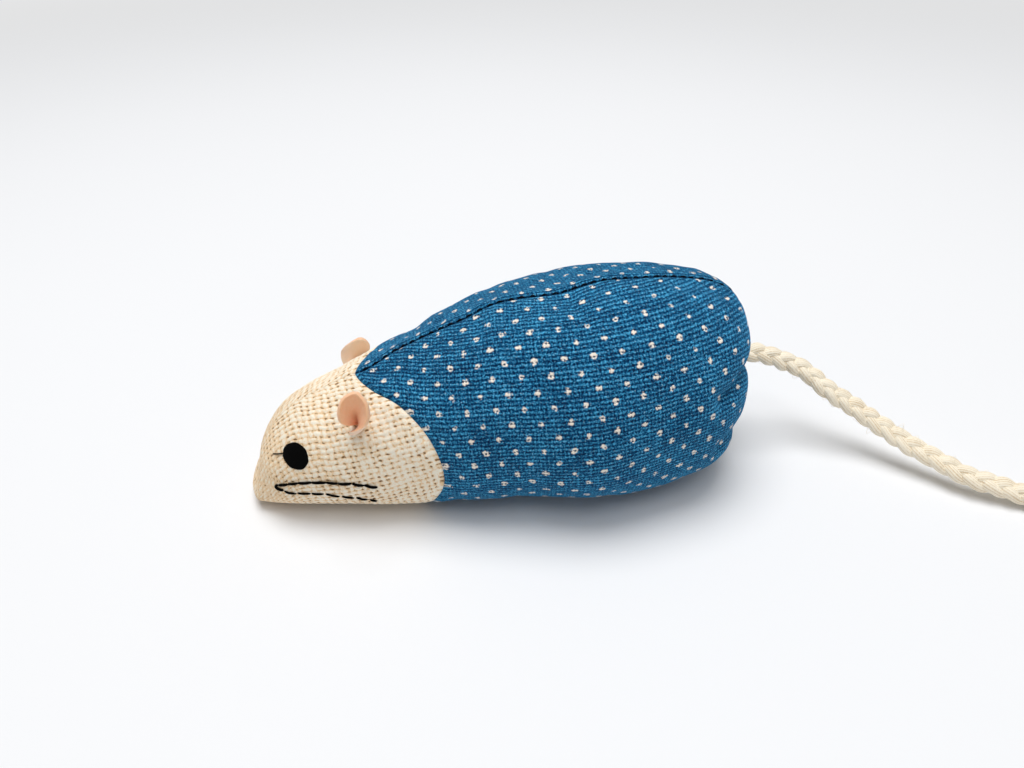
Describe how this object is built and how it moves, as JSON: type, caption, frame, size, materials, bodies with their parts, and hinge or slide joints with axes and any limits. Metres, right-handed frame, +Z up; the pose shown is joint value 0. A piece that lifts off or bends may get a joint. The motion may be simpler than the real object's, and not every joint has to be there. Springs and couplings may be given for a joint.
{
  "type": "stuffed mouse toy",
  "caption": "Stuffed fabric mouse toy with a dotted cloth body, plain woven head, felt ears, stitched eyes and cheeks, and a braided rope tail that lies on the ground.",
  "frame": {"origin": "on the ground, under the middle of the body's box, which leaves the rope tail out", "axes": "+X from the nose to the rump, where the tail leaves; +Y towards the mouse's right side; +Z up"},
  "size_m": [0.2217, 0.0901, 0.0482],
  "materials": {
    "blue_cloth": "plain-woven cotton in a deep sea blue with small printed cream dots, matt",
    "cream_cloth": "coarse cream and tan plain weave, matt",
    "fibre": "white polyester fibre filling, loose and fluffy",
    "ear_felt": "peach felt, soft and matt with a short nap",
    "black_thread": "black embroidery thread with a slight sheen",
    "navy_thread": "dark blue sewing thread",
    "cream_thread": "cream sewing thread",
    "rope": "cream cotton rope, braided from strands of fine parallel yarns, matt"
  },
  "bodies": {
    "mouse": {"body_panel_left": "blue_cloth", "body_panel_right": "blue_cloth", "head_panel_left": "cream_cloth", "head_panel_right": "cream_cloth", "stuffing": "fibre", "eye_left": "black_thread", "eye_right": "black_thread", "cheek_stitch_left": "black_thread", "cheek_stitch_right": "black_thread", "back_seam_thread": "navy_thread", "belly_seam_thread": "navy_thread", "neck_seam_thread": "navy_thread", "head_seam_thread": "cream_thread", "tail_root": "rope"},
    "ear_left": {"ear_left": "ear_felt"},
    "ear_right": {"ear_right": "ear_felt"},
    "tail": {"tail_rope": "rope", "tail_knot": "rope"}
  },
  "joints": [
    {"name": "tail_swing", "type": "hinge", "parent": "mouse", "child": "tail", "pos_m": [0.0613, 0, 0.0242], "axis": [0, 0, 1], "range_deg": [-60, 85]},
    {"name": "ear_left_flap", "type": "hinge", "parent": "mouse", "child": "ear_left", "pos_m": [-0.03167, -0.01384, 0.02784], "axis": [0.9343, -0.2951, 0.1999], "range_deg": [-35, 60], "stiffness_Nm_per_rad": 0.0008},
    {"name": "ear_right_flap", "type": "hinge", "parent": "mouse", "child": "ear_right", "pos_m": [-0.03335, 0.01626, 0.02355], "axis": [-0.9479, -0.2994, -0.1085], "range_deg": [-20, 60], "stiffness_Nm_per_rad": 0.0008}
  ]
}
